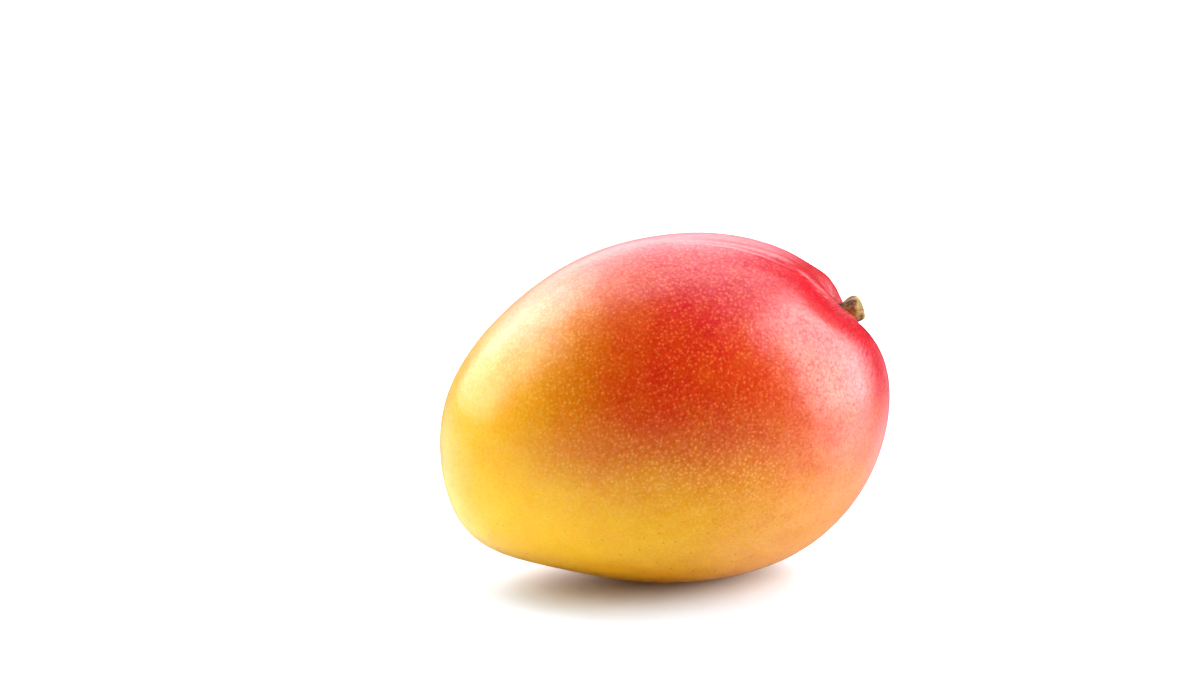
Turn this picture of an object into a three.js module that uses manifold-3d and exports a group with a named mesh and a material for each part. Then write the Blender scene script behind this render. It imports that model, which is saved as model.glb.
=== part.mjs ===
// A ripe mango that lies on its belly, with the short cut stub of its stem.
// Millimetres: +X towards the stem end, +Y through the two cheeks, +Z up.
// The origin is the middle of the small flat spot that the fruit rests on.
import * as THREE from 'three';
import { mergeVertices } from 'three/addons/utils/BufferGeometryUtils.js';
import Module from 'manifold-3d';

const { clamp, degToRad, smoothstep } = THREE.MathUtils;
const wasm = await Module();
wasm.setup();

// ---- Driving dimensions of the fruit ----

// How far the plain egg shape reaches from its middle
const STEM_END = 59.2;
const APEX_END = 63.5;
const CREST = 45.8;
const BELLY = 48.6;
const CHEEK = 42.5;

// How it lies: the place of its middle, and how far the stem end is tipped up
const MIDDLE = new THREE.Vector3(-2.4, 0, 46.35);
const TIP_UP = degToRad(10.4);

// The stem sits a little above the long axis, in a wide shallow hollow
const STEM_AT = 16.3;
const STEM_WAY = way(STEM_AT, 0);
const OVER_STEM = way(STEM_AT + 90, 0);
const ACROSS = new THREE.Vector3(0, 1, 0);
const HOLLOW_DEPTH = 3.7;
const HOLLOW_SPREAD = degToRad(10.8);

// The seam runs from the hollow along the crest and fades out
const SEAM_DEPTH = 2.3;
const SEAM_SPREAD = degToRad(5.5);
const SEAM_MIDDLE = degToRad(10);
const SEAM_HALF_LENGTH = degToRad(62);

// Swellings (rise above 0) and flats (rise below 0) of the skin, each with a soft round edge
const SWELLINGS = {
  beak: { toward: way(201.3, 0), rise: 4.5, spread: degToRad(11.4) },
  bellyShoulder: { toward: way(-49.4, 0), rise: 3.0, spread: degToRad(22.5) },
  crestFlat: { toward: way(147, 0), rise: -2.7, spread: degToRad(19.2) },
  bellyFlat: { toward: way(227.5, 0), rise: -3.1, spread: degToRad(29.6) },
  backShoulder: { toward: way(23.4, 11), rise: 1.3, spread: degToRad(4.1) },
  frontSlope: { toward: way(26.9, -13.5), rise: -3.5, spread: degToRad(7.1) },
  frontCheek: { toward: way(20, -55), rise: 1.2, spread: degToRad(22) },
  backCheek: { toward: way(12, 52), rise: 0.8, spread: degToRad(22) },
};

// The skin's mesh is a globe whose poles are the stem and the apex. Its rings crowd towards
// the stem and its meridians towards the seam, where the form is finest.
const RINGS = 64;
const MERIDIANS = 76;
const RING_CROWDING = 1.25;
const MERIDIAN_CROWDING = 0.6;

// ---- Driving dimensions of the stem stub ----

// It leans a little from the stem's place towards the belly, and its foot stands in a plain hole
const STUB_WAY = way(7, 0);
const GAP = 0.3;
const SOCKET_RADIUS = 3.2;
const SOCKET_DEPTH = 2.2;
const SOCKET_SIDES = 48;

// Its outline from the foot, at height 0, to the middle of the cut end
const FOOT = { radius: SOCKET_RADIUS - GAP, height: 3.6 };
const FOOT_CHAMFER = 0.3;
const SHOULDER = { radius: 3.25, height: 4.5 };
const HEAD = { radius: 3.45, height: 5.6 };
const RIM = { radius: 3.25, height: 7.1 };
const CUT_EDGE = { radius: 2.6, height: 7.85 };
const CUT_MIDDLE = { radius: 0, height: 8.3 };

const FURROWS = 7;
const FURROW_DEPTH = 0.14;
const KNOT_SPREAD = 1.2;
const KNOTS = [
  { turn: degToRad(15), height: 6.9, rise: 0.35 },
  { turn: degToRad(95), height: 5.4, rise: 0.4 },
  { turn: degToRad(170), height: 6.7, rise: 0.35 },
  { turn: degToRad(250), height: 5.6, rise: 0.4 },
  { turn: degToRad(310), height: 7.2, rise: 0.3 },
];
const STUB_SIDES = 44;
const STUB_RINGS = 20;

// A way out from the middle, in degrees: `at` turns from the long axis at the stem end up over
// the crest and on to the apex, `side` turns out of that plane towards +Y.
function way(at, side) {
  const out = degToRad(side);
  const round = degToRad(at);
  const flat = Math.cos(out);
  return new THREE.Vector3(flat * Math.cos(round), Math.sin(out), flat * Math.sin(round));
}

// ---- The skin as a distance from the middle ----

// One reach at each end of an axis, blended softly from one to the other
function blend(low, high, share) {
  const turn = clamp(share, -1, 1) * Math.PI / 2;
  return low + (high - low) * (1 + Math.sin(turn)) / 2;
}

function eggReach(out) {
  const long = blend(APEX_END, STEM_END, out.x);
  const high = blend(BELLY, CREST, out.z);
  return 1 / Math.hypot(out.x / long, out.y / CHEEK, out.z / high);
}

function swelling(out) {
  let sum = 0;
  for (const { toward, rise, spread } of Object.values(SWELLINGS)) {
    const away = out.angleTo(toward) / spread;
    sum += rise * Math.exp(-away * away / 2);
  }
  return sum;
}

function stemHollow(out) {
  const away = out.angleTo(STEM_WAY) / HOLLOW_SPREAD;
  return HOLLOW_DEPTH * Math.exp(-away * away);
}

function crestSeam(out) {
  const along = Math.atan2(out.dot(OVER_STEM), out.dot(STEM_WAY)) - SEAM_MIDDLE;
  const across = Math.asin(clamp(out.y, -1, 1)) / SEAM_SPREAD;
  const fade = Math.max(1 - (along / SEAM_HALF_LENGTH) ** 2, 0) ** 2;
  return SEAM_DEPTH * fade * Math.exp(-across * across);
}

function skinReach(out) {
  return eggReach(out) + swelling(out) - stemHollow(out) - crestSeam(out);
}

// From the fruit's own axes to the way it lies
function lay(point) {
  return point.applyAxisAngle(ACROSS, -TIP_UP).add(MIDDLE);
}

// The stub's axis as the fruit lies, and a point on it so far out from the hollow's floor
function stubAxis() {
  return STUB_WAY.clone().applyAxisAngle(ACROSS, -TIP_UP);
}

function stubPoint(height) {
  const floor = lay(STEM_WAY.clone().multiplyScalar(skinReach(STEM_WAY)));
  return floor.addScaledVector(stubAxis(), height);
}

// ---- Solids ----

function welded(geometry) {
  geometry.deleteAttribute('normal');
  geometry.deleteAttribute('uv');
  return mergeVertices(geometry);
}

function solid(geometry) {
  const whole = welded(geometry);
  const vertProperties = new Float32Array(whole.attributes.position.array);
  const triVerts = new Uint32Array(whole.index.array);
  return new wasm.Manifold(new wasm.Mesh({ numProp: 3, vertProperties, triVerts }));
}

function meshGeometry(manifold) {
  const { vertProperties, triVerts } = manifold.getMesh();
  const geometry = new THREE.BufferGeometry();
  geometry.setAttribute('position', new THREE.BufferAttribute(vertProperties, 3));
  geometry.setIndex(new THREE.BufferAttribute(triVerts, 1));
  geometry.computeVertexNormals();
  return geometry;
}

function moveVertices(geometry, move) {
  const place = geometry.attributes.position;
  const point = new THREE.Vector3();
  for (let i = 0; i < place.count; i += 1) {
    move(point.fromBufferAttribute(place, i));
    place.setXYZ(i, point.x, point.y, point.z);
  }
  return geometry;
}

// A unit globe whose +Y pole turns to the stem and whose points move out to the skin
function skinGeometry() {
  const globe = new THREE.SphereGeometry(1, MERIDIANS, RINGS);
  return moveVertices(globe, (point) => {
    const ring = Math.acos(clamp(point.y, -1, 1)) / Math.PI;
    const turn = Math.atan2(point.z, point.x);
    const away = Math.PI * ring ** RING_CROWDING;
    const round = turn - MERIDIAN_CROWDING * Math.sin(turn);
    point.copy(STEM_WAY).multiplyScalar(Math.cos(away));
    point.addScaledVector(OVER_STEM, Math.sin(away) * Math.cos(round));
    point.addScaledVector(ACROSS, Math.sin(away) * Math.sin(round));
    point.multiplyScalar(skinReach(point));
    lay(point);
  });
}

// The plain round hole that the stub stands in
function socketGeometry() {
  const depth = 2 * SOCKET_DEPTH;
  const hole = new THREE.CylinderGeometry(SOCKET_RADIUS, SOCKET_RADIUS, depth, SOCKET_SIDES);
  hole.applyQuaternion(new THREE.Quaternion().setFromUnitVectors(ACROSS, stubAxis()));
  const middle = stubPoint(depth / 2 - SOCKET_DEPTH);
  return hole.translate(middle.x, middle.y, middle.z);
}

// Everything under the floor, which leaves the small flat spot
function floorGeometry() {
  const span = 4 * APEX_END;
  return new THREE.BoxGeometry(span, span, span).translate(0, 0, -span / 2);
}

// ---- The stub, upright on +Z with its foot at 0 ----

function stubProfile() {
  const corner = ({ radius, height }) => new THREE.Vector2(radius, height);
  const side = new THREE.SplineCurve([FOOT, SHOULDER, HEAD, RIM, CUT_EDGE, CUT_MIDDLE].map(corner));
  return [
    new THREE.Vector2(0, 0),
    new THREE.Vector2(FOOT.radius - FOOT_CHAMFER, 0),
    new THREE.Vector2(FOOT.radius, FOOT_CHAMFER),
    ...side.getSpacedPoints(STUB_RINGS),
  ];
}

// How far the bark stands out at a point of the round stub: knots over the head, and shallow
// furrows up its length
function barkRise(turn, height) {
  let rise = FURROW_DEPTH * Math.cos(FURROWS * turn + Math.sin(turn));
  for (const knot of KNOTS) {
    const round = 2 * HEAD.radius * Math.sin((turn - knot.turn) / 2);
    const up = height - knot.height;
    rise += knot.rise * Math.exp(-(round * round + up * up) / KNOT_SPREAD ** 2);
  }
  return rise;
}

function stubGeometry() {
  const round = new THREE.LatheGeometry(stubProfile(), STUB_SIDES).rotateX(Math.PI / 2);
  return moveVertices(round, (point) => {
    const { x, y, z } = point;
    const clear = smoothstep(z, FOOT.height, HEAD.height);
    const grow = 1 + clear * barkRise(Math.atan2(y, x), z) / HEAD.radius;
    point.set(x * grow, y * grow, z);
  });
}

// ---- The two pieces ----

function fruit() {
  const whole = solid(skinGeometry()).subtract(solid(socketGeometry()));
  const body = whole.subtract(solid(floorGeometry()));
  const skin = new THREE.MeshStandardMaterial({ color: 0xe2682b, roughness: 0.38, metalness: 0 });
  const mesh = new THREE.Mesh(meshGeometry(body), skin);
  mesh.name = 'fruit';
  return mesh;
}

function stemStub() {
  const wood = new THREE.MeshStandardMaterial({ color: 0x8f6a35, roughness: 0.85, metalness: 0 });
  const mesh = new THREE.Mesh(meshGeometry(solid(stubGeometry())), wood);
  mesh.name = 'stem_stub';
  mesh.position.copy(stubPoint(GAP - SOCKET_DEPTH));
  mesh.quaternion.setFromUnitVectors(new THREE.Vector3(0, 0, 1), stubAxis());
  return mesh;
}

const mango = new THREE.Group();
mango.add(fruit(), stemStub());
export default mango;
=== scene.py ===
"""A ripe mango in a white studio: the looks of the part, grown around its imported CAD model.

Two pieces stand for the two CAD nodes: a fine skin that follows the same formula as the solid
fruit, and the cut stub of the stem with its bark. Everything is in metres, in the frame of the
CAD: +X towards the stem end, +Y through the cheeks, +Z up, z = 0 at the spot it rests on.
"""
import math

import bpy
import numpy as np
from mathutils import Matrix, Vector, noise


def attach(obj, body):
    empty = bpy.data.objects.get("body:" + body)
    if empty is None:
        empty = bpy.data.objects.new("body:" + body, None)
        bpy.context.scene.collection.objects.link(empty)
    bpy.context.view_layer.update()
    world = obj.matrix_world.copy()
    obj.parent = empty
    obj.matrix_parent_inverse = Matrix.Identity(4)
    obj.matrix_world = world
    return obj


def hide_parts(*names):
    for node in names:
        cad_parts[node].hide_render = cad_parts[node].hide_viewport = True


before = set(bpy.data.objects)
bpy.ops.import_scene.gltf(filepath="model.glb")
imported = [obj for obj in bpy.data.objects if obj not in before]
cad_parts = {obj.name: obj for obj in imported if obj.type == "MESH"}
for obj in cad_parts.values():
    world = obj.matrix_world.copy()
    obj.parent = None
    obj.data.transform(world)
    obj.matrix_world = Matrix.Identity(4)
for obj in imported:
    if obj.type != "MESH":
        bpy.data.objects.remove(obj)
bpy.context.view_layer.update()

MM = 0.001

# ---- The fruit's shape, as in the CAD ----

STEM_END = 59.2 * MM
APEX_END = 63.5 * MM
CREST = 45.8 * MM
BELLY = 48.6 * MM
CHEEK = 42.5 * MM

# How it lies: the place of its middle, and how far the stem end is tipped up
MIDDLE = np.array([-2.4, 0, 46.35]) * MM
TIP_UP = math.radians(10.4)


def way(at, side):
    """A way out from the middle: `at` degrees from the long axis up over the crest, and then
    `side` degrees out of that plane towards +Y."""
    flat = math.cos(math.radians(side))
    up = math.radians(at)
    return np.array([flat * math.cos(up), math.sin(math.radians(side)), flat * math.sin(up)])


STEM_AT = 16.3
STEM_WAY = way(STEM_AT, 0)
OVER_STEM = way(STEM_AT + 90, 0)
ACROSS = np.array([0.0, 1.0, 0.0])
HOLLOW_DEPTH = 3.7 * MM
HOLLOW_SPREAD = math.radians(10.8)

SEAM_DEPTH = 2.3 * MM
SEAM_SPREAD = math.radians(5.5)
SEAM_MIDDLE = math.radians(10)
SEAM_HALF_LENGTH = math.radians(62)

# Each swelling or flat of the skin: its way, its rise in mm and its spread in degrees
SWELLINGS = {
    "beak": (way(201.3, 0), 4.5, 11.4),
    "belly shoulder": (way(-49.4, 0), 3.0, 22.5),
    "crest flat": (way(147, 0), -2.7, 19.2),
    "belly flat": (way(227.5, 0), -3.1, 29.6),
    "back shoulder": (way(23.4, 11), 1.3, 4.1),
    "front slope": (way(26.9, -13.5), -3.5, 7.1),
    "front cheek": (way(20, -55), 1.2, 22),
    "back cheek": (way(12, 52), 0.8, 22),
}

# ---- The stub's shape, as in the CAD ----

STUB_WAY = way(7, 0)
SOCKET_DEPTH = 2.2 * MM
GAP = 0.3 * MM
SOCKET_RADIUS = 3.2 * MM

# Its outline, as the radius and the height over the CAD's foot of each corner. This piece starts a
# little further up, out of sight in the hole.
FOOT_START = 1.0 * MM
FOOT = (SOCKET_RADIUS - GAP, 3.6 * MM)
SHOULDER = (3.25 * MM, 4.5 * MM)
HEAD = (3.45 * MM, 5.6 * MM)
RIM = (3.25 * MM, 7.1 * MM)
CUT_EDGE = (2.6 * MM, 7.85 * MM)
CUT_MIDDLE = (0.0, 8.3 * MM)

FURROWS = 7
FURROW_DEPTH = 0.14 * MM
KNOT_SPREAD = 1.2 * MM

# Each knot: its turn in degrees, its height and its rise in mm
KNOTS = [(15, 6.9, 0.35), (95, 5.4, 0.4), (170, 6.7, 0.35), (250, 5.6, 0.4), (310, 7.2, 0.3)]

STUB_SIDES = 160
STUB_STEPS = 14

# ---- Fine forms of the skin, which the CAD leaves out ----

# A sharp little lip on the near shoulder of the hollow, with a groove behind it. Each point of its
# line is so many degrees from the stem, and so many degrees round it from the crest. It is higher
# by the stem and fades out further on, between the two angles from the stem given for each.
LIP_LINE = [(7.5, -100), (10, -76), (14.5, -46), (21, -39), (31, -31), (38, -23), (46, -16),
            (56, -12), (70, -6)]
LIP_HEIGHT = 0.22 * MM
LIP_WIDTH = 0.55 * MM
GROOVE_DEPTH = 0.45 * MM
GROOVE_WIDTH = 0.9 * MM
GROOVE_BEHIND = 1.5 * MM
LIP_FADE = (24, 60)
LIP_BY_STEM = 1.6
LIP_LOWERS = (10, 26)
LIP_SAMPLES = 240

# A corky ring round the foot of the stub, with the mouth of the stub's hole inside it
COLLAR_RADIUS = 4.1 * MM
COLLAR_WIDTH = 0.6 * MM
COLLAR_HEIGHT = 0.3 * MM
MOUTH_RADIUS = SOCKET_RADIUS
MOUTH_EDGE = 0.4 * MM
MOUTH_DEPTH = 0.9 * MM

# Puckers that run out from the stem: how many go round, their turn in radians and their height
PUCKERS = [(9, 0.4, 0.05 * MM), (14, 2.1, 0.03 * MM), (23, 4.4, 0.02 * MM)]
PUCKER_MIDDLE = 8.5 * MM
PUCKER_SPREAD = 4.5 * MM

# Slight unevenness of the whole skin: the size of one wave and its height
WAVES = [(24 * MM, 0.10 * MM), (8 * MM, 0.04 * MM)]

# The skin lies this far inside the CAD's, so that it stays in the CAD's box with its waves
INSET = 0.08 * MM

# The skin's mesh is a globe whose poles are the stem and the apex. Its rings crowd towards the stem
# and its meridians towards the seam, where the form is finest.
SKIN_RINGS = 240
SKIN_MERIDIANS = 320
RING_CROWDING = 1.25
MERIDIAN_CROWDING = 0.6


# ---- Shape of the skin ----

def blend(low, high, share):
    """One reach at each end of an axis, blended softly from one to the other."""
    return low + (high - low) * (1 + np.sin(np.clip(share, -1, 1) * np.pi / 2)) / 2


def smooth_step(value, low, high):
    share = np.clip((value - low) / (high - low), 0, 1)
    return share * share * (3 - 2 * share)


def angle_to(out, toward):
    return np.arccos(np.clip(out @ toward, -1, 1))


def egg_reach(out):
    long = blend(APEX_END, STEM_END, out[:, 0])
    high = blend(BELLY, CREST, out[:, 2])
    return 1 / np.sqrt((out[:, 0] / long) ** 2 + (out[:, 1] / CHEEK) ** 2 + (out[:, 2] / high) ** 2)


def swelling(out):
    total = np.zeros(len(out))
    for toward, rise, spread in SWELLINGS.values():
        away = angle_to(out, toward) / math.radians(spread)
        total += rise * MM * np.exp(-away ** 2 / 2)
    return total


def stem_hollow(out):
    return HOLLOW_DEPTH * np.exp(-(angle_to(out, STEM_WAY) / HOLLOW_SPREAD) ** 2)


def crest_seam(out):
    along = np.arctan2(out @ OVER_STEM, out @ STEM_WAY) - SEAM_MIDDLE
    across = np.arcsin(np.clip(out[:, 1], -1, 1)) / SEAM_SPREAD
    fade = np.maximum(1 - (along / SEAM_HALF_LENGTH) ** 2, 0) ** 2
    return SEAM_DEPTH * fade * np.exp(-across ** 2)


def skin_reach(out):
    return egg_reach(out) + swelling(out) - stem_hollow(out) - crest_seam(out)


LAY = np.array([
    [math.cos(TIP_UP), 0, -math.sin(TIP_UP)],
    [0, 1, 0],
    [math.sin(TIP_UP), 0, math.cos(TIP_UP)],
])


def lay(points):
    """From the fruit's own axes to the way it lies."""
    return points @ LAY.T + MIDDLE


HOLLOW_FLOOR = lay(STEM_WAY * skin_reach(STEM_WAY[None])[0])
STUB_AXIS = LAY @ STUB_WAY


def turns(count):
    """So many even turns round a full circle, in radians."""
    return np.arange(count) / count * 2 * np.pi


def closed_tube_faces(rows, count):
    """Quads between rings of `count` points, closed by fans to two points that come after them."""
    faces = []
    for first in range(0, (rows - 1) * count, count):
        for i in range(count):
            following = (i + 1) % count
            faces.append((first + i, first + following, first + count + following, first + count + i))
    start, end = rows * count, rows * count + 1
    last = (rows - 1) * count
    for i in range(count):
        following = (i + 1) % count
        faces.append((following, i, start))
        faces.append((last + i, last + following, end))
    return faces


def globe():
    """Points of a unit globe with its poles at the stem and the apex, and its faces."""
    rings = np.arange(1, SKIN_RINGS) / SKIN_RINGS
    ring, turn = np.meshgrid(rings, turns(SKIN_MERIDIANS), indexing="ij")
    away = (np.pi * ring ** RING_CROWDING).ravel()
    turned = (turn - MERIDIAN_CROWDING * np.sin(turn)).ravel()
    out = (np.cos(away)[:, None] * STEM_WAY
           + (np.sin(away) * np.cos(turned))[:, None] * OVER_STEM
           + (np.sin(away) * np.sin(turned))[:, None] * ACROSS)
    faces = closed_tube_faces(len(rings), SKIN_MERIDIANS)
    return np.vstack([out, STEM_WAY, -STEM_WAY]), faces


def add_object(name, data):
    made = bpy.data.objects.new(name, data)
    bpy.context.scene.collection.objects.link(made)
    return made


def mesh_object(name, points, faces):
    mesh = bpy.data.meshes.new(name)
    mesh.from_pydata(points.tolist(), [], faces)
    mesh.polygons.foreach_set("use_smooth", [True] * len(faces))
    mesh.validate()
    return add_object(name, mesh)


def round_stem(out):
    """Each way's angle from the stem, and its turn round the stem from the crest, in degrees."""
    from_stem = np.degrees(angle_to(out, STEM_WAY))
    turn = np.degrees(np.arctan2(out @ ACROSS, out @ OVER_STEM))
    return from_stem, turn


def near_lip(out, reach):
    """The lip on the hollow's near shoulder, and the groove behind it."""
    from_stem, turn = round_stem(out)
    at, line = np.array(LIP_LINE).T
    samples = np.linspace(at[0], at[-1], LIP_SAMPLES)
    line = np.interp(samples, at, line)
    away = np.full(len(out), np.inf)
    for angle, side in zip(np.radians(samples), np.radians(line)):
        ring = math.sin(angle)
        middle = (math.cos(angle) * STEM_WAY + ring * math.cos(side) * OVER_STEM
                  + ring * math.sin(side) * ACROSS)
        away = np.minimum(away, np.linalg.norm(out - middle, axis=1))
    behind = np.sign(turn - np.interp(from_stem, samples, line))
    offset = away * reach * behind
    by_stem = 1 + (LIP_BY_STEM - 1) * (1 - smooth_step(from_stem, *LIP_LOWERS))
    lip = LIP_HEIGHT * by_stem * np.exp(-(offset / LIP_WIDTH) ** 2)
    groove = GROOVE_DEPTH * np.exp(-((offset - GROOVE_BEHIND) / GROOVE_WIDTH) ** 2)
    return (lip - groove) * (1 - smooth_step(from_stem, *LIP_FADE))


def stem_skin(out, reach):
    """The corky collar, the mouth of the stub's hole and the puckers round the stub."""
    points = lay(out * reach[:, None]) - HOLLOW_FLOOR
    from_axis = np.linalg.norm(np.cross(points, STUB_AXIS), axis=1)
    from_axis = np.where(angle_to(out, STEM_WAY) < math.pi / 2, from_axis, np.inf)
    collar = COLLAR_HEIGHT * np.exp(-((from_axis - COLLAR_RADIUS) / COLLAR_WIDTH) ** 2)
    mouth = MOUTH_DEPTH * (1 - smooth_step(from_axis, MOUTH_RADIUS - MOUTH_EDGE, MOUTH_RADIUS))
    turn = np.radians(round_stem(out)[1])
    pucker = sum(height * np.cos(count * turn + start) for count, start, height in PUCKERS)
    pucker *= np.exp(-((from_axis - PUCKER_MIDDLE) / PUCKER_SPREAD) ** 2)
    return collar - mouth + pucker


def unevenness(points):
    total = np.zeros(len(points))
    for size, height in WAVES:
        total += [height * noise.noise(Vector(point / size)) for point in points]
    return total


def make_skin():
    out, faces = globe()
    reach = skin_reach(out)
    reach = reach + near_lip(out, reach) + stem_skin(out, reach)
    reach = reach + unevenness(out * reach[:, None]) - INSET
    points = lay(out * reach[:, None])
    points[:, 2] = np.maximum(points[:, 2], 0)
    return mesh_object("mango_skin", points, faces)


# ---- Shape of the stub ----

def spline(corners, steps):
    """A smooth curve through the corners, with so many steps between each two."""
    corners = np.array(corners)
    lead_in = 2 * corners[0] - corners[1]
    lead_out = 2 * corners[-1] - corners[-2]
    known = [lead_in, *corners, lead_out]
    curve = []
    for before, start, end, after in zip(known, known[1:], known[2:], known[3:]):
        leaving = (end - before) / 2
        arriving = (after - start) / 2
        for share in np.arange(steps) / steps:
            curve.append((2 * share ** 3 - 3 * share ** 2 + 1) * start
                         + (share ** 3 - 2 * share ** 2 + share) * leaving
                         + (3 * share ** 2 - 2 * share ** 3) * end
                         + (share ** 3 - share ** 2) * arriving)
    return np.array(curve)


def bark_rise(turn, height):
    """Shallow furrows up the stub and knots over its head, as in the CAD."""
    rise = FURROW_DEPTH * np.cos(FURROWS * turn + np.sin(turn))
    for at, middle, knot in KNOTS:
        round_stub = 2 * HEAD[0] * np.sin((turn - math.radians(at)) / 2)
        up = height - middle * MM
        rise = rise + knot * MM * np.exp(-(round_stub ** 2 + up ** 2) / KNOT_SPREAD ** 2)
    return rise


def stub_ring(radius, height, turn):
    """One ring of the upright stub, with its bark above the foot."""
    clear = smooth_step(height, FOOT[1], HEAD[1])
    reach = radius * (1 + clear * bark_rise(turn, height) / HEAD[0])
    return np.stack([reach * np.cos(turn), reach * np.sin(turn), np.full(len(turn), height)], axis=1)


def make_stub():
    side = spline([FOOT, SHOULDER, HEAD, RIM, CUT_EDGE, CUT_MIDDLE], STUB_STEPS)
    profile = np.vstack([[FOOT[0], FOOT_START], side])
    turn = turns(STUB_SIDES)
    rings = [stub_ring(radius, height, turn) for radius, height in profile]
    points = np.vstack([*rings, [0, 0, FOOT_START], [0, 0, CUT_MIDDLE[1]]])
    faces = closed_tube_faces(len(rings), STUB_SIDES)
    lean = np.array(Vector((0, 0, 1)).rotation_difference(Vector(STUB_AXIS)).to_matrix())
    root = HOLLOW_FLOOR + STUB_AXIS * (GAP - SOCKET_DEPTH)
    return mesh_object("stem_stub_bark", points @ lean.T + root, faces)


# ---- Node trees ----

class Nodes:
    """Short ways to write a node tree."""

    def __init__(self, owner, coordinates):
        owner.use_nodes = True
        self.tree = owner.node_tree
        self.place = self.add("ShaderNodeTexCoord").outputs[coordinates]

    def add(self, kind, **settings):
        node = self.tree.nodes.new(kind)
        for name, value in settings.items():
            setattr(node, name, value)
        return node

    def feed(self, socket, value):
        if isinstance(value, bpy.types.NodeSocket):
            self.tree.links.new(value, socket)
        else:
            socket.default_value = value

    def math(self, operation, first, second=0.0):
        node = self.add("ShaderNodeMath", operation=operation)
        self.feed(node.inputs[0], first)
        self.feed(node.inputs[1], second)
        return node.outputs[0]

    def product(self, first, *others):
        for other in others:
            first = self.math("MULTIPLY", first, other)
        return first

    def plus(self, base, *parts):
        """The base and every part times its weight."""
        for part, weight in parts:
            base = self.math("ADD", base, self.math("MULTIPLY", part, weight))
        return base

    def vector(self, operation, first, second=(0, 0, 0), output="Vector"):
        node = self.add("ShaderNodeVectorMath", operation=operation)
        self.feed(node.inputs[0], first)
        self.feed(node.inputs[1], second)
        return node.outputs[output]

    def dot(self, first, second):
        return self.vector("DOT_PRODUCT", first, second, output="Value")

    def distance(self, first, second):
        return self.vector("DISTANCE", first, second, output="Value")

    def scaled(self, vector, amount):
        node = self.add("ShaderNodeVectorMath", operation="SCALE")
        self.feed(node.inputs[0], vector)
        self.feed(node.inputs["Scale"], amount)
        return node.outputs[0]

    def split(self, vector):
        node = self.add("ShaderNodeSeparateXYZ")
        self.feed(node.inputs[0], vector)
        return node.outputs[:]

    def join(self, x, y, z):
        node = self.add("ShaderNodeCombineXYZ")
        for socket, value in zip(node.inputs, (x, y, z)):
            self.feed(socket, value)
        return node.outputs[0]

    def step(self, value, low, high):
        """0 below low, 1 above high, and smooth between."""
        node = self.add("ShaderNodeMapRange", interpolation_type="SMOOTHSTEP")
        self.feed(node.inputs["Value"], value)
        self.feed(node.inputs["From Min"], low)
        self.feed(node.inputs["From Max"], high)
        return node.outputs["Result"]

    def fade(self, value, low, high):
        """1 below low, 0 above high, and smooth between."""
        return self.math("SUBTRACT", 1.0, self.step(value, low, high))

    def rise(self, value):
        """Climbs from 0, far below, through a half where the value is 0, to 1, far above."""
        falling = self.math("EXPONENT", self.product(value, -1.0))
        return self.math("DIVIDE", 1.0, self.math("ADD", falling, 1.0))

    def patch(self, place, middle, radius, height):
        """A soft round patch: `height` in its middle, and fading out past its radius."""
        away = self.math("DIVIDE", self.distance(place, middle), radius)
        return self.product(self.math("EXPONENT", self.product(away, away, -1.0)), height)

    def noise(self, grain, detail=2.0, roughness=0.5, place=None, output="Fac"):
        """Cloudy noise, with `grain` the size in metres of one cloud."""
        node = self.add("ShaderNodeTexNoise")
        self.feed(node.inputs["Vector"], self.place if place is None else place)
        self.feed(node.inputs["Scale"], 1 / grain)
        self.feed(node.inputs["Detail"], detail)
        self.feed(node.inputs["Roughness"], roughness)
        return node.outputs[output]

    def swing(self, grain, detail, roughness):
        """Cloudy noise that swings about 0."""
        return self.math("SUBTRACT", self.noise(grain, detail, roughness), 0.5)

    def shaken(self, place, grain, amount):
        """The place, shifted to and fro by cloudy noise."""
        wobble = self.vector("SUBTRACT", self.noise(grain, output="Color"), (0.5, 0.5, 0.5))
        return self.vector("ADD", place, self.scaled(wobble, amount))

    def cells(self, grain):
        """The distance from the middle of the nearest cell, and that cell's random colour."""
        node = self.add("ShaderNodeTexVoronoi")
        self.feed(node.inputs["Vector"], self.place)
        self.feed(node.inputs["Scale"], 1 / grain)
        return node.outputs["Distance"], node.outputs["Color"]

    def ramp(self, value, stops):
        node = self.add("ShaderNodeValToRGB")
        elements = node.color_ramp.elements
        while len(elements) < len(stops):
            elements.new(0.5)
        for element, (position, colour) in zip(elements, stops):
            element.position = position
            element.color = (*colour, 1)
        self.feed(node.inputs["Fac"], value)
        return node.outputs["Color"]

    def mix(self, share, first, second):
        node = self.add("ShaderNodeMix", data_type="RGBA")
        self.feed(node.inputs["Factor"], share)
        for socket, colour in ((node.inputs["A"], first), (node.inputs["B"], second)):
            self.feed(socket, colour if isinstance(colour, bpy.types.NodeSocket) else (*colour, 1))
        return node.outputs["Result"]

    def bump(self, height, distance):
        node = self.add("ShaderNodeBump")
        self.feed(node.inputs["Height"], height)
        self.feed(node.inputs["Distance"], distance)
        return node.outputs["Normal"]


class MaterialNodes(Nodes):
    """The node tree of a new material, around its Principled shader."""

    def __init__(self, name):
        self.material = bpy.data.materials.new(name)
        super().__init__(self.material, "Object")
        self.shader = self.tree.nodes["Principled BSDF"]


# ---- Colour of the skin ----

# Half the fruit's length, breadth and height. A `spot` on the skin is placed in these half sizes
# from the fruit's middle: x from -1 at the apex to 1 at the stem, y through the cheeks and z up.
HALF_SIZE = np.array([60, 42.5, 47]) * MM

# The hue is a number, and this is its colour, from crimson through red and orange to gold
HUES = [
    (-0.06, (0.49, 0.003, 0.012)),
    (0.00, (0.51, 0.004, 0.005)),
    (0.05, (0.54, 0.027, 0.001)),
    (0.15, (0.59, 0.088, 0.001)),
    (0.30, (0.66, 0.197, 0.001)),
    (0.45, (0.72, 0.325, 0.001)),
    (0.60, (0.75, 0.452, 0.002)),
]

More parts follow.
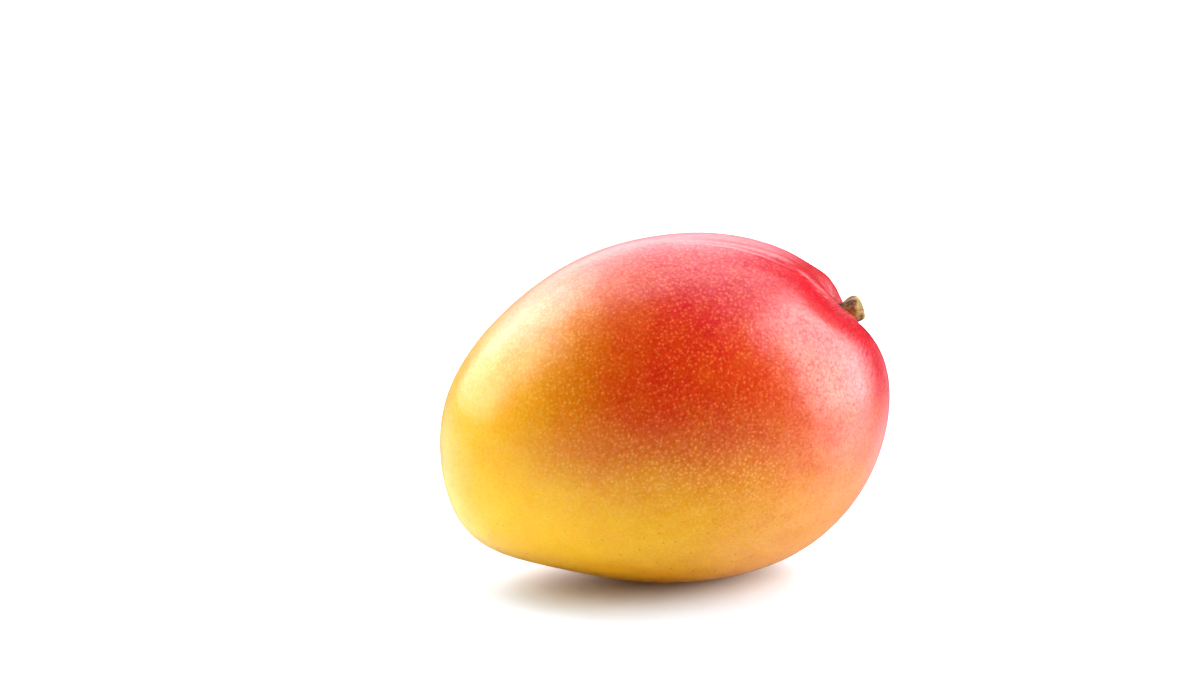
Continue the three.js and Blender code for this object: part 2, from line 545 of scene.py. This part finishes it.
# The skin turns golden towards the apex and the belly: how fast the change goes along x, y squared
# and z, where it starts, and the hue it ends at. Elsewhere the skin has the reddest hue.
GOLDEN_APEX = ((-4.79, 1.18, 0.65), -3.35, 0.50)
GOLDEN_BELLY = ((-0.37, 2.24, -7.77), -2.84, 0.395)
REDDEST_HUE = -0.036

# Soft patches where the blush is thinner (shift above 0) or deeper (shift below 0): the spot of
# the middle, the radius in half sizes, and the shift of the hue
BLUSH_PATCHES = {
    "warm cheek": ((0.45, -0.86, 0.23), 0.44, 0.10),
    "orange underside": ((-0.11, -0.84, -0.54), 0.39, 0.085),
    "red cheek": ((-0.40, -0.85, 0.25), 0.40, -0.09),
    "yellow cheek": ((-0.75, -0.57, 0.33), 0.40, 0.10),
    "yellow tip": ((-0.95, -0.29, 0.0), 0.32, 0.10),
    "pale shoulder": ((-0.52, -0.50, 0.65), 0.28, 0.05),
    "golden underside": ((-0.45, -0.60, -0.70), 0.33, 0.04),
    "orange spot": ((0.09, -0.90, 0.40), 0.30, 0.03),
    "peach end": ((0.84, -0.55, -0.08), 0.33, 0.08),
}

# Painted light and painted shade: patches where the skin's colour is lightened (shift above 0) or
# darkened (shift below 0) to make up for how the lamps fall on it, placed in the same way
PAINTED_LIGHT_AND_SHADE_PATCHES = {
    "painted shade on the cheek": ((-0.05, -0.98, -0.02), 0.42, -0.09),
    "painted light on the flank": ((-0.70, -0.62, -0.06), 0.44, 0.18),
    "painted light on the top": ((0.12, -0.75, 0.45), 0.35, 0.12),
    "painted light under the keel": ((0.00, -0.47, -0.85), 0.45, 0.18),
    "painted light under the left keel": ((-0.58, -0.40, -0.76), 0.42, 0.20),
    "painted light under the right keel": ((0.45, -0.35, -0.85), 0.33, 0.24),
    # painted shade: the apex is darkened where the lamps light it strongly
    "apex": ((-1.0, -0.10, -0.05), 0.35, -0.25),
}

# The brightness in the middle, how much it falls from there to the stem end, and how much darker
# the skin is right by the stem, within these distances from it
BRIGHTNESS = 0.98
BRIGHTNESS_FALL = 0.3
DARK_BY_STEM = 0.11
DARK_REACH = (8 * MM, 54 * MM)

# How far the patches' edges wander, as the size of one wave and its share of a half size
WIDE_SHAKE = (14 * MM, 0.14)
FINE_SHAKE = (3 * MM, 0.07)

# Cloudy noises of the skin: the size of one cloud, its detail and its roughness
GRAIN = (0.8 * MM, 3, 0.7)
BLOTCHES = (6 * MM, 5, 0.65)
PORES = (0.7 * MM, 3, 0.7)
CLOUDS = (5 * MM, 3, 0.6)
PEEL = (1.6 * MM, 5, 0.7)
DENTS = (9 * MM, 2, 0.5)

# Streaks run out from the stem: how many there are to a radian round it, how long one is, and the
# distances between which they fade out
STREAKS_PER_RADIAN = 24.0
STREAK_LENGTH = 4.5 * MM
STREAK_DETAIL = 4
STREAK_ROUGHNESS = 0.65
STREAK_FADE = (15.4 * MM, 44 * MM)

# How much the unevenness shifts the hue
GRAIN_HUE = 0.07
STREAK_HUE = 0.12
BLOTCH_HUE = 0.14

# How much it lightens and darkens the colour. The pores show less where the hue is golden.
PORE_TONE = 0.9
PORE_TONE_LESS = 0.5
GOLDEN_HUE = (0.10, 0.45)
CLOUD_TONE = 0.15
STREAK_TONE = 0.9

# A crimson stripe with a dull waxy bloom runs from the stem along the near side of the crest. Its
# middle lies at y = START + SLOPE x + BEND x^2. It widens and starts over these stretches of x,
# and it shows above this stretch of z.
STRIPE_START = -0.30
STRIPE_SLOPE = -0.15
STRIPE_BEND = 0.03
STRIPE_WIDTH = 0.085
STRIPE_WIDENING = 0.035
STRIPE_WIDENS = (0.2, 0.6)
STRIPE_STARTS = (0.06, 0.42)
STRIPE_ABOVE = (0.05, 0.30)
STRIPE_FRAY = 4.0
STRIPE_HUE = -0.08
STRIPE_DULLNESS = 0.82

# Lenticels: fine pale dots all over, and a few larger ones between them. Each kind has the size of
# its cells and, as shares of a cell, the stretch over which a dot fades out.
FINE_CELL = 1.0 * MM
FINE_EDGE = (0.10, 0.50)
LARGE_CELL = 2.8 * MM
LARGE_EDGE = (0.03, 0.15)
CELL_RIM = (0.45, 0.8)
WEAKEST_DOT = 0.4

# Their colour on red and on golden skin, how strong it is, and the stretches of hue, x and z over
# which the dots fade: on gold, by the stem and below
RED_DOT = (0.98, 0.22, 0.05)
GOLDEN_DOT = (1.0, 0.62, 0.12)
DOT_TURNS_GOLDEN = (0.05, 0.35)
DOT_STRENGTH = 0.50
DOT_HUE_FADE = (0.35, 0.60)
DOT_FADING_ON_GOLD = 0.55
DOT_STEM_FADE = (0.20, 0.48)
DOT_FADING_BY_STEM = 0.85
DOT_RISE = (-0.46, -0.08)
DOT_FADING_BELOW = 0.8

# Tiny brown specks under the belly, in the cells whose random number is above the choice
SPECK_CELL = 2.4 * MM
SPECK_EDGE = (0.06, 0.18)
SPECK_CHOICE = (0.40, 0.45)
SPECK_FADE = (-0.75, -0.25)
SPECK_COLOUR = (0.20, 0.08, 0.01)
SPECK_STRENGTH = 0.7

# ---- Relief and gloss of the skin ----

# The height of the finest relief, and each part's share in it
RELIEF = 0.09 * MM
PEEL_RELIEF = 0.6
DOT_RELIEF = 0.15
STREAK_RELIEF = 1.6
DENT_RELIEF = 2.2

# The gloss, and how much the unevenness changes it. The bloom is dry on the front cheek.
GLOSS = 0.57
PORE_GLOSS = 0.8
STREAK_GLOSS = 0.6
RIM_GLOSS = -0.16
DOT_GLOSS = -0.18
CLOUD_GLOSS = 0.45
DULL_CHEEK = ((-0.08, -0.95, -0.10), 0.50, -0.26)
SKIN_ROUGHNESS = 0.29

# Light goes a little way into the flesh, red light the furthest
FLESH_GLOW = 0.12
FLESH_DEPTH = 3 * MM
FLESH_TINT = (1.0, 0.35, 0.1)


class SkinNodes(MaterialNodes):
    """The skin's node tree, with what its colour, relief and gloss share."""

    def __init__(self):
        super().__init__("mango_skin")
        self.centred = self.vector("SUBTRACT", self.place, tuple(MIDDLE))
        self.spot = self.vector("DIVIDE", self.centred, tuple(HALF_SIZE))
        self.rough_spot = self.shaken(self.shaken(self.spot, *WIDE_SHAKE), *FINE_SHAKE)
        self.from_stem = self.distance(self.place, tuple(HOLLOW_FLOOR))
        self.pores = self.swing(*PORES)
        self.clouds = self.swing(*CLOUDS)
        self.streak = stem_streaks(self)
        self.stripe = crest_stripe(self)
        self.lenticel, self.cell_rim = lenticels(self)


def stem_streaks(nodes):
    """Noise drawn out into streaks that run out from the stem."""
    across = nodes.dot(nodes.centred, tuple(ACROSS))
    over = nodes.dot(nodes.centred, tuple(LAY @ OVER_STEM))
    way_round = nodes.vector("NORMALIZE", nodes.join(across, over, 0.0))
    out = nodes.math("DIVIDE", nodes.from_stem, STREAK_LENGTH)
    spun = nodes.vector("ADD", nodes.scaled(way_round, STREAKS_PER_RADIAN), nodes.join(0.0, 0.0, out))
    streak = nodes.noise(1.0, STREAK_DETAIL, STREAK_ROUGHNESS, place=spun)
    return nodes.product(nodes.math("SUBTRACT", streak, 0.5), nodes.fade(nodes.from_stem, *STREAK_FADE))


def crest_stripe(nodes):
    """How deep in the crimson stripe a spot is, with an edge that the streaks fray."""
    x, y, z = nodes.split(nodes.spot)
    middle = nodes.plus(STRIPE_START, (nodes.plus(STRIPE_SLOPE, (x, STRIPE_BEND)), x))
    width = nodes.plus(STRIPE_WIDTH, (nodes.step(x, *STRIPE_WIDENS), STRIPE_WIDENING))
    away = nodes.math("DIVIDE", nodes.math("SUBTRACT", y, middle), width)
    away = nodes.plus(away, (nodes.streak, STRIPE_FRAY))
    squared = nodes.product(away, away)
    stripe = nodes.math("EXPONENT", nodes.product(squared, squared, -1.0))
    return nodes.product(stripe, nodes.step(z, *STRIPE_ABOVE), nodes.step(x, *STRIPE_STARTS))


def lenticels(nodes):
    """Soft round dots, one to a cell, fine ones and a few large ones, and the rims of the cells."""
    distance, random = nodes.cells(FINE_CELL)
    large, _ = nodes.cells(LARGE_CELL)
    strength = nodes.plus(WEAKEST_DOT, (nodes.split(random)[0], 1 - WEAKEST_DOT))
    fine = nodes.product(nodes.fade(distance, *FINE_EDGE), strength)
    dots = nodes.math("MAXIMUM", fine, nodes.fade(large, *LARGE_EDGE))
    return dots, nodes.step(distance, *CELL_RIM)


def with_patches(nodes, value, patches):
    for middle, radius, shift in patches.values():
        value = nodes.math("ADD", value, nodes.patch(nodes.rough_spot, middle, radius, shift))
    return value


def golden_share(nodes, spread, climb, start, height):
    """A hue that climbs softly along the way that `climb` points, to its height."""
    climbed = nodes.math("ADD", nodes.dot(spread, climb), start)
    return nodes.product(nodes.rise(climbed), height)


def blush(nodes):
    """Yellow at the apex, gold under the belly, red over the crest and crimson by the stem."""
    x, y, z = nodes.split(nodes.rough_spot)
    spread = nodes.join(x, nodes.product(y, y), z)
    apex = golden_share(nodes, spread, *GOLDEN_APEX)
    belly = golden_share(nodes, spread, *GOLDEN_BELLY)
    left_over = nodes.math("SUBTRACT", 1.0, apex)
    hue = nodes.plus(nodes.math("ADD", apex, REDDEST_HUE), (left_over, belly))
    return with_patches(nodes, hue, BLUSH_PATCHES)


def skin_hue(nodes):
    return nodes.plus(blush(nodes),
                      (nodes.swing(*GRAIN), GRAIN_HUE),
                      (nodes.streak, STREAK_HUE),
                      (nodes.swing(*BLOTCHES), BLOTCH_HUE),
                      (nodes.stripe, STRIPE_HUE))


def skin_brightness(nodes):
    x = nodes.split(nodes.spot)[0]
    # The patches paint light and shade into the skin's colour.
    brightness = with_patches(nodes, nodes.plus(BRIGHTNESS, (x, -BRIGHTNESS_FALL)), PAINTED_LIGHT_AND_SHADE_PATCHES)
    by_stem = nodes.fade(nodes.from_stem, *DARK_REACH)
    return nodes.product(brightness, nodes.plus(1.0, (by_stem, -DARK_BY_STEM)))


def skin_tone(nodes, hue):
    """Pores, clouds and streaks, which lighten and darken the colour."""
    pore_tone = nodes.plus(PORE_TONE, (nodes.step(hue, *GOLDEN_HUE), -PORE_TONE_LESS))
    return nodes.plus(1.0,
                      (nodes.pores, pore_tone),
                      (nodes.clouds, CLOUD_TONE),
                      (nodes.streak, STREAK_TONE))


def ground_colour(nodes, hue):
    """The skin's colour without its dots and specks."""
    lowest, highest = HUES[0][0], HUES[-1][0]
    share = nodes.math("DIVIDE", nodes.math("SUBTRACT", hue, lowest), highest - lowest)
    ground = nodes.ramp(share, [((at - lowest) / (highest - lowest), colour) for at, colour in HUES])
    return nodes.scaled(ground, nodes.product(skin_brightness(nodes), skin_tone(nodes, hue)))


def dot_share(nodes, hue):
    """The lenticels, fainter on gold, by the stem and below."""
    x, _, z = nodes.split(nodes.spot)
    on_red = nodes.plus(1.0, (nodes.step(hue, *DOT_HUE_FADE), -DOT_FADING_ON_GOLD))
    from_stem = nodes.plus(1 - DOT_FADING_BY_STEM, (nodes.fade(x, *DOT_STEM_FADE), DOT_FADING_BY_STEM))
    above = nodes.plus(1 - DOT_FADING_BELOW, (nodes.step(z, *DOT_RISE), DOT_FADING_BELOW))
    return nodes.product(nodes.lenticel, on_red, from_stem, above)


def speck_share(nodes):
    """Tiny specks in some of the cells, on the lower side alone."""
    distance, random = nodes.cells(SPECK_CELL)
    chosen = nodes.step(nodes.split(random)[1], *SPECK_CHOICE)
    low = nodes.fade(nodes.split(nodes.spot)[2], *SPECK_FADE)
    return nodes.product(nodes.fade(distance, *SPECK_EDGE), chosen, low)


def skin_colour(nodes, hue, dots):
    dot_colour = nodes.mix(nodes.step(hue, *DOT_TURNS_GOLDEN), RED_DOT, GOLDEN_DOT)
    colour = nodes.mix(nodes.product(dots, DOT_STRENGTH), ground_colour(nodes, hue), dot_colour)
    return nodes.mix(nodes.product(speck_share(nodes), SPECK_STRENGTH), colour, SPECK_COLOUR)


def skin_relief(nodes):
    height = nodes.plus(nodes.product(nodes.swing(*PEEL), PEEL_RELIEF),
                        (nodes.lenticel, DOT_RELIEF),
                        (nodes.streak, STREAK_RELIEF),
                        (nodes.swing(*DENTS), DENT_RELIEF))
    return nodes.bump(height, RELIEF)


def skin_gloss(nodes, dots):
    gloss = nodes.plus(GLOSS,
                       (nodes.pores, PORE_GLOSS),
                       (nodes.streak, STREAK_GLOSS),
                       (nodes.cell_rim, RIM_GLOSS),
                       (dots, DOT_GLOSS),
                       (nodes.clouds, CLOUD_GLOSS))
    gloss = nodes.math("ADD", gloss, nodes.patch(nodes.rough_spot, *DULL_CHEEK))
    return nodes.product(gloss, nodes.plus(1.0, (nodes.stripe, -STRIPE_DULLNESS)))


def skin_material():
    nodes = SkinNodes()
    hue = skin_hue(nodes)
    dots = dot_share(nodes, hue)
    inputs = nodes.shader.inputs
    nodes.feed(inputs["Base Color"], skin_colour(nodes, hue, dots))
    nodes.feed(inputs["Normal"], skin_relief(nodes))
    nodes.feed(inputs["Specular IOR Level"], skin_gloss(nodes, dots))
    inputs["Roughness"].default_value = SKIN_ROUGHNESS
    inputs["Subsurface Weight"].default_value = FLESH_GLOW
    inputs["Subsurface Radius"].default_value = FLESH_TINT
    inputs["Subsurface Scale"].default_value = FLESH_DEPTH
    return nodes.material


# ---- Bark of the stub ----

# From dark crust through rusty shade and gold wood to the paler wood of the cut end
BARK_DARK = (0.045, 0.022, 0.014)
BARK_RUST = (0.21, 0.09, 0.018)
BARK_GOLD = (0.40, 0.235, 0.05)
CUT_WOOD = (0.30, 0.235, 0.085)
BARK_STOPS = [(0.50, BARK_DARK), (0.58, BARK_RUST), (0.68, BARK_GOLD), (0.82, CUT_WOOD)]
CUT_STOPS = [(0.5, BARK_RUST), (0.7, CUT_WOOD)]

# Fibres, which are drawn out along the stub, and crust: the noise of each and its share
BARK_FIBRE = (0.55 * MM, 4, 0.65)
BARK_CRUST = (2.4 * MM, 3, 0.6)
FIBRE_DRAW = 0.65
FIBRE_SHARE = 0.55
CRUST_SHARE = 0.65
BARK_RELIEF = 0.35 * MM
BARK_ROUGHNESS = 0.75

# The cut end starts between these heights above the hollow's floor
CUT_HEIGHT = (4.6 * MM, 5.4 * MM)
CUT_GRAIN = 0.4 * MM
CUT_CRUST = 0.3
CUT_SHARE = 0.5


def bark_material():
    nodes = MaterialNodes("stem_bark")
    from_foot = nodes.vector("SUBTRACT", nodes.place, tuple(HOLLOW_FLOOR))
    along = nodes.dot(from_foot, tuple(STUB_AXIS))
    drawn = nodes.scaled(tuple(STUB_AXIS), nodes.product(along, FIBRE_DRAW))
    fibre = nodes.noise(*BARK_FIBRE, place=nodes.vector("SUBTRACT", from_foot, drawn))
    crust = nodes.noise(*BARK_CRUST, place=from_foot)
    shade = nodes.plus(nodes.product(fibre, FIBRE_SHARE), (crust, CRUST_SHARE))
    side = nodes.ramp(shade, BARK_STOPS)
    rings = nodes.noise(CUT_GRAIN, place=nodes.join(along, fibre, 0.0))
    end = nodes.ramp(nodes.plus(rings, (crust, CUT_CRUST)), CUT_STOPS)
    cut = nodes.product(nodes.step(along, *CUT_HEIGHT), CUT_SHARE)
    nodes.feed(nodes.shader.inputs["Base Color"], nodes.mix(cut, side, end))
    nodes.feed(nodes.shader.inputs["Normal"], nodes.bump(shade, BARK_RELIEF))
    nodes.shader.inputs["Roughness"].default_value = BARK_ROUGHNESS
    return nodes.material


# ---- Studio ----

# The floor, a little whiter further off, between these distances from the fruit. Near the fruit it is
# bluer, so that its shadow, warmed by light off the orange fruit, comes out grey: a painted cool tint
# in the shade.
FLOOR_HALF = 3.0
FLOOR_NEAR = (0.77, 0.85, 0.94)
FLOOR_MOTTLE = (0.75, 0.83, 0.92)
MOTTLE_SIZE = 0.5
MOTTLE_SHARE = 0.05
FLOOR_FAR = (0.85, 0.89, 0.94)
FLOOR_WHITENS = (0.14, 0.35)
FLOOR_ROUGHNESS = 0.9


def floor_material():
    nodes = MaterialNodes("studio_floor")
    mottle = nodes.product(nodes.noise(MOTTLE_SIZE, detail=1), MOTTLE_SHARE)
    # painted cool tint in the shade: the floor near the fruit is bluer
    near = nodes.mix(mottle, FLOOR_NEAR, FLOOR_MOTTLE)
    whiter = nodes.step(nodes.distance(nodes.place, (0, 0, 0)), *FLOOR_WHITENS)
    nodes.feed(nodes.shader.inputs["Base Color"], nodes.mix(whiter, near, FLOOR_FAR))
    nodes.shader.inputs["Roughness"].default_value = FLOOR_ROUGHNESS
    nodes.shader.inputs["Specular IOR Level"].default_value = 0
    return nodes.material


def make_floor():
    """Wide and white. The skin mirrors the room's lower half instead, which is dimmer in front."""
    corners = [(-1, -1, 0), (1, -1, 0), (1, 1, 0), (-1, 1, 0)]
    floor = mesh_object("studio_floor", np.array(corners) * FLOOR_HALF, [(0, 1, 2, 3)])
    floor.data.materials.append(floor_material())
    floor.visible_glossy = False


def way_from_fruit(azimuth, elevation):
    """A way out from the fruit, `azimuth` degrees from -Y towards +X and `elevation` degrees up."""
    a, e = math.radians(azimuth), math.radians(elevation)
    return Vector((math.sin(a) * math.cos(e), -math.cos(a) * math.cos(e), math.sin(e)))


def aim(thing, place, way_out):
    """Puts a lamp or camera in its place, looking back along the way out."""
    thing.location = place
    thing.rotation_mode = "QUATERNION"
    thing.rotation_quaternion = (-way_out).to_track_quat("-Z", "Y")


def softbox(name, azimuth, elevation, distance, size, brightness):
    light = bpy.data.lights.new(name, "AREA")
    light.shape = "RECTANGLE"
    light.size, light.size_y = size
    light.energy = brightness * math.pi * size[0] * size[1]
    lamp = add_object(name, light)
    lamp.visible_camera = False
    way_out = way_from_fruit(azimuth, elevation)
    aim(lamp, Vector(MIDDLE) + way_out * distance, way_out)


# The light of the room, as soft lobes: the way to the middle, the cosines at the edge and where it
# is full, and the strength. Above the floor it comes from behind.
ROOM_DARK = 0.01
ROOM_TINT = (0.90, 0.97, 1.08)
ROOM_LOBES = {
    "behind": ((-0.04, 0.667, 0.744), 0.68, 0.85, 3.2),
    "over the right lamp": ((0.46, -0.10, 0.882), 0.90, 1.0, 2.0),
    "far right": ((0.76, 0.61, 0.22), 0.93, 1.0, 0.3),
    "behind the right lamp": ((0.947, 0.2715, 0.174), 0.945, 1.0, 2.4),
    "backdrop": ((0, 0.995, 0.10), 0.93, 1.0, 0.45),
}

# What the skin mirrors below: a floor that is dim in front, and bright at both sides
FLOOR_LOBES = {
    "near the right lamp": ((0.992, -0.07, -0.10), 0.85, 1.0, 4.2),
    "left": ((-0.613, 0.635, -0.469), 0.75, 1.0, 1.9),
    "far right": ((0.649, 0.721, -0.242), 0.955, 1.0, 0.9),
}

# Straight below and in front, and the right side with a brighter strip at its edge: strengths, and
# the stretches of right, behind and up over which they come and go
UNDER_LIGHT = 0.5
UNDER_RISE = (-0.85, -0.4)
FRONT_FADE = (0.0, 0.5)
RIGHT_LIGHT = 0.9
RIGHT_START = (0.15, 0.45)
RIGHT_DIM_BEHIND = 0.3
RIGHT_RISE = (-0.38, -0.2)
STRIP_LIGHT = 0.85
STRIP_START = (0.56, 0.74)
HORIZON = (-0.04, 0.0)


def with_lobes(nodes, light, lobes):
    for middle, edge, full, strength in lobes.values():
        light = nodes.plus(light, (nodes.step(nodes.dot(nodes.place, middle), edge, full), strength))
    return light


def mirrored_floor(nodes):
    right, behind, up = nodes.split(nodes.place)
    in_front = nodes.fade(behind, *FRONT_FADE)
    under = nodes.product(nodes.fade(up, *UNDER_RISE), in_front, UNDER_LIGHT)
    not_behind = nodes.plus(1 - RIGHT_DIM_BEHIND, (in_front, RIGHT_DIM_BEHIND))
    side = nodes.product(nodes.step(right, *RIGHT_START), RIGHT_LIGHT, not_behind)
    side = nodes.plus(side, (nodes.step(right, *STRIP_START), STRIP_LIGHT))
    light = nodes.plus(under, (side, nodes.fade(up, *RIGHT_RISE)))
    return nodes.product(with_lobes(nodes, light, FLOOR_LOBES), nodes.fade(up, *HORIZON))


def make_world():
    """White to the camera, with the room's light for all else."""
    world = bpy.data.worlds.new("studio")
    bpy.context.scene.world = world
    nodes = Nodes(world, "Generated")
    light = nodes.math("ADD", with_lobes(nodes, ROOM_DARK, ROOM_LOBES), mirrored_floor(nodes))
    seen = nodes.add("ShaderNodeLightPath").outputs["Is Camera Ray"]
    strength = nodes.plus(light, (nodes.math("SUBTRACT", 1.0, light), seen))
    background = nodes.tree.nodes["Background"]
    nodes.feed(background.inputs["Color"], nodes.mix(seen, ROOM_TINT, (1, 1, 1)))
    nodes.feed(background.inputs["Strength"], strength)
    bpy.context.scene.view_settings.view_transform = "Standard"


# The photograph's camera looks from so far out along this way. The fruit stands off the middle of
# the frame, so the camera is shifted by these lengths to the right and up.
PHOTO_AZIMUTH = -10
PHOTO_ELEVATION = 14
CAMERA_DISTANCE = 0.889
FRAME_RIGHT = -18.7 * MM
FRAME_UP = 18.35 * MM
LENS = 100
SENSOR = 36
NEAREST = 10 * MM


def make_camera():
    back = way_from_fruit(PHOTO_AZIMUTH, PHOTO_ELEVATION)
    right = Vector((0, 0, 1)).cross(back).normalized()
    up = back.cross(right)
    lens = bpy.data.cameras.new("photo_camera")
    lens.lens = LENS
    lens.sensor_width = SENSOR
    lens.clip_start = NEAREST
    camera = add_object("photo_camera", lens)
    aim(camera, Vector(MIDDLE) + back * CAMERA_DISTANCE + right * FRAME_RIGHT + up * FRAME_UP, back)
    bpy.context.scene.camera = camera


make_camera()
make_world()
make_floor()
softbox("left_softbox", azimuth=-121, elevation=30, distance=1.0, size=(1.18, 0.92), brightness=4.25)
softbox("right_softbox", azimuth=76, elevation=23, distance=0.6, size=(0.53, 0.70), brightness=8.0)

skin = make_skin()
skin.data.materials.append(skin_material())
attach(skin, "root")
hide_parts("fruit")

stub = make_stub()
stub.data.materials.append(bark_material())
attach(stub, "root")
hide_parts("stem_stub")
